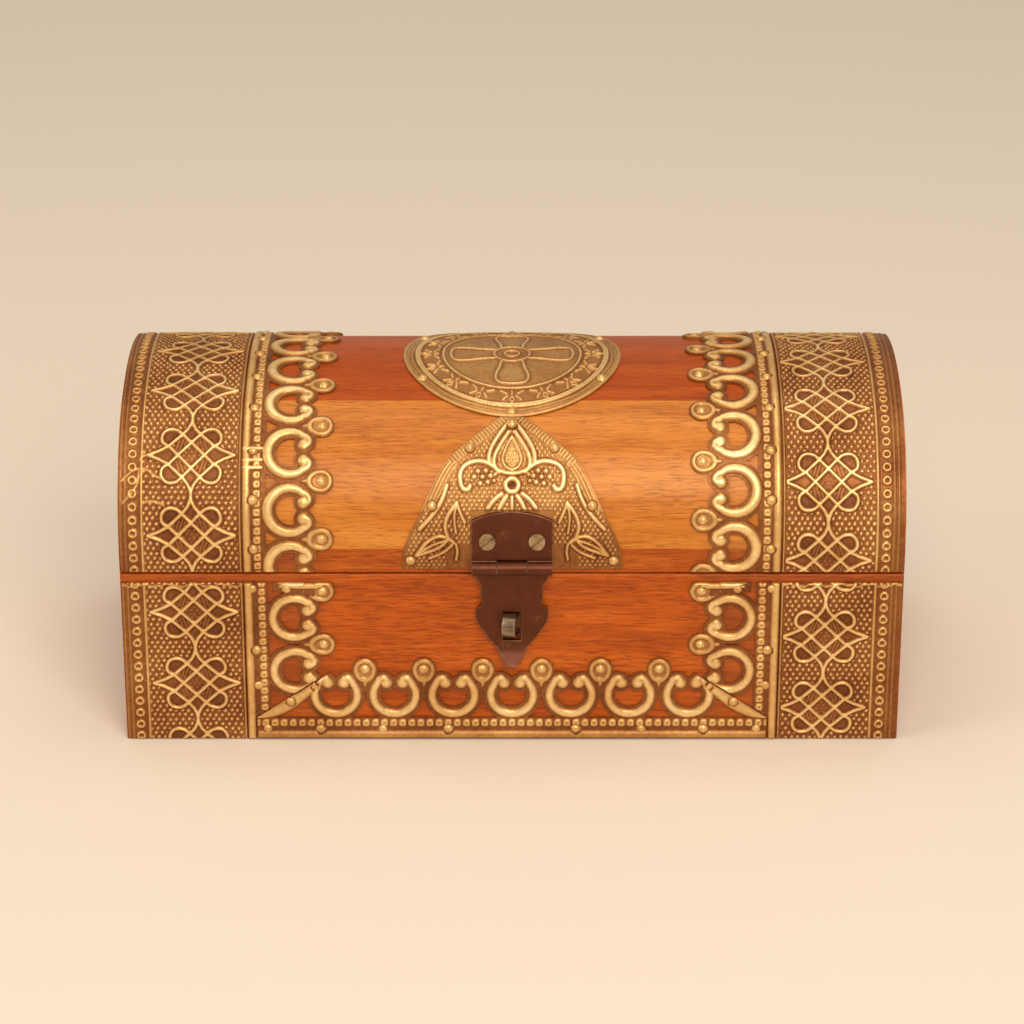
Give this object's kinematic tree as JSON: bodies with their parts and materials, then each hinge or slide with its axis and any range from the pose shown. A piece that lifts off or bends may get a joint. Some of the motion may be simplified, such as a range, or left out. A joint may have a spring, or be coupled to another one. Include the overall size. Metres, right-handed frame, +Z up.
{
  "type": "wooden chest with barrel lid",
  "caption": "Small rectangular wooden keepsake chest with a hinged barrel lid, embossed brass bands and scroll borders, and a front hasp that closes over a staple.",
  "frame": {"origin": "centre of the underside of the base", "axes": "+X along the length to the right as seen from the front, +Y to the back with the hinges, +Z up"},
  "size_m": [0.203, 0.1012, 0.0917],
  "materials": {
    "base_wood": "varnished red-brown hardwood, glossy",
    "lid_wood": "varnished orange-brown hardwood, glossy",
    "top_wood": "varnished dark red-brown hardwood, glossy",
    "brass": "embossed sheet, antiqued dark in the recesses and rubbed bright on the relief",
    "iron": "dark brown oxidised sheet iron",
    "steel": "dull worn steel"
  },
  "bodies": {
    "base": {"base_front_panel": "base_wood", "base_back_panel": "base_wood", "base_left_end": "base_wood", "base_right_end": "base_wood", "base_bottom_panel": "base_wood", "base_left_panel": "brass", "base_right_panel": "brass", "base_left_scrolls": "brass", "base_right_scrolls": "brass", "base_foot_scrolls": "brass", "base_pins": "brass", "left_hinge_base_leaf": "iron", "right_hinge_base_leaf": "iron", "staple": "steel", "left_hinge_pin": "steel", "right_hinge_pin": "steel", "base_hinge_screws": "steel"},
    "lid": {"lid_front_rail": "lid_wood", "lid_back_rail": "lid_wood", "lid_front_stave": "lid_wood", "lid_back_stave": "lid_wood", "lid_left_end": "lid_wood", "lid_right_end": "lid_wood", "lid_top_stave": "top_wood", "lid_left_band": "brass", "lid_right_band": "brass", "lid_left_scrolls": "brass", "lid_right_scrolls": "brass", "lid_left_pins": "brass", "lid_right_pins": "brass", "lid_medallion": "brass", "medallion_pins": "brass", "lid_lotus_plate": "brass", "lotus_pins": "brass", "hasp_leaf": "iron", "left_hinge_lid_leaf": "iron", "right_hinge_lid_leaf": "iron", "hasp_pin": "steel", "hasp_screws": "steel", "lid_hinge_screws": "steel"},
    "hasp": {"hasp_plate": "iron"}
  },
  "joints": [
    {"name": "lid_hinge", "type": "hinge", "parent": "base", "child": "lid", "pos_m": [0, 0.0475, 0.04815], "axis": [-1, 0, 0], "range_deg": [0, 110]},
    {"name": "hasp_hinge", "type": "hinge", "parent": "lid", "child": "hasp", "pos_m": [0, -0.04795, 0.0508], "axis": [-1, 0, 0], "range_deg": [0, 170]}
  ]
}
